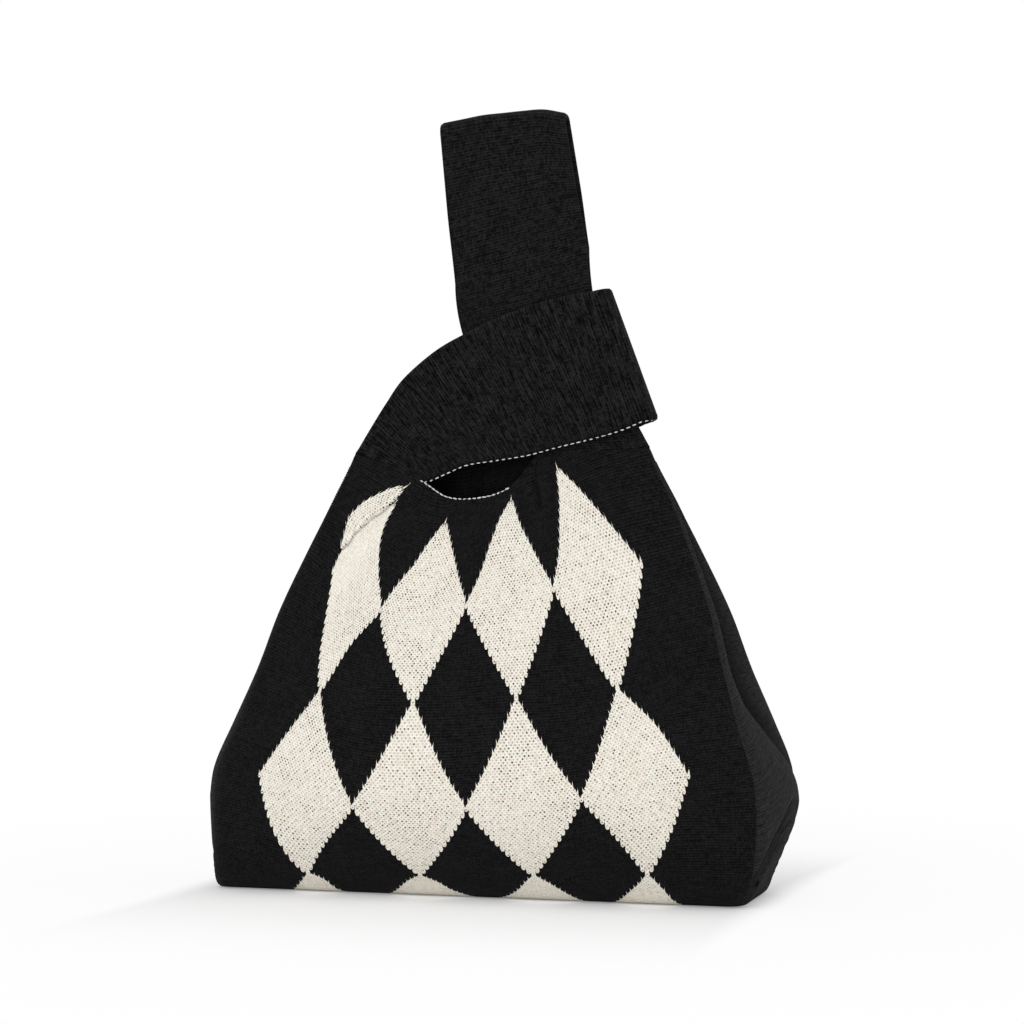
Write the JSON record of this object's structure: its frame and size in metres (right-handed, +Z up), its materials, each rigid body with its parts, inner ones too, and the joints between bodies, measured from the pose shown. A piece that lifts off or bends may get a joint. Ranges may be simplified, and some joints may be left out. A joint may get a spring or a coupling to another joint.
{
  "type": "knot bag",
  "caption": "Soft knitted knot bag with a harlequin front, whose long strap handle passes up through a short strap loop that closes the mouth.",
  "frame": {"origin": "on the ground under the middle of the bag", "axes": "+Z up, +X to the right as the patterned front is seen, +Y from front to back"},
  "size_m": [0.256, 0.087, 0.342],
  "materials": {
    "patterned_knit": "double jacquard knit, black with ivory diamonds, matte",
    "black_knit": "ribbed double knit, matte",
    "black_yarn": "bound seam, matte",
    "white_thread": "overlock stitching, matte"
  },
  "bodies": {
    "bag_body": {"front_panel": "patterned_knit", "back_panel": "patterned_knit", "base_panel": "black_knit", "left_gusset": "black_knit", "right_gusset": "black_knit", "gusset_seam_left": "black_yarn", "gusset_seam_right": "black_yarn", "side_seam_front_left": "black_yarn", "side_seam_back_left": "black_yarn", "side_seam_front_right": "black_yarn", "side_seam_back_right": "black_yarn", "base_seam_front": "black_yarn", "base_seam_back": "black_yarn", "mouth_thread_front": "white_thread", "mouth_thread_back": "white_thread", "corner_knot": "black_yarn"},
    "short_loop": {"short_loop_front": "black_knit", "short_loop_back": "black_knit", "short_loop_thread": "white_thread"},
    "long_handle": {"handle_front": "black_knit", "handle_back": "black_knit"}
  },
  "joints": [
    {"name": "short_loop_slide", "type": "slide", "parent": "bag_body", "child": "short_loop", "axis": [-0.0941, 0, 0.9956], "range_m": [0, 0.014]},
    {"name": "long_handle_flop", "type": "hinge", "parent": "bag_body", "child": "long_handle", "pos_m": [-0.00059, 0, 0.27203], "axis": [0.969, 0, 0.247], "range_deg": [-90, 90]}
  ]
}
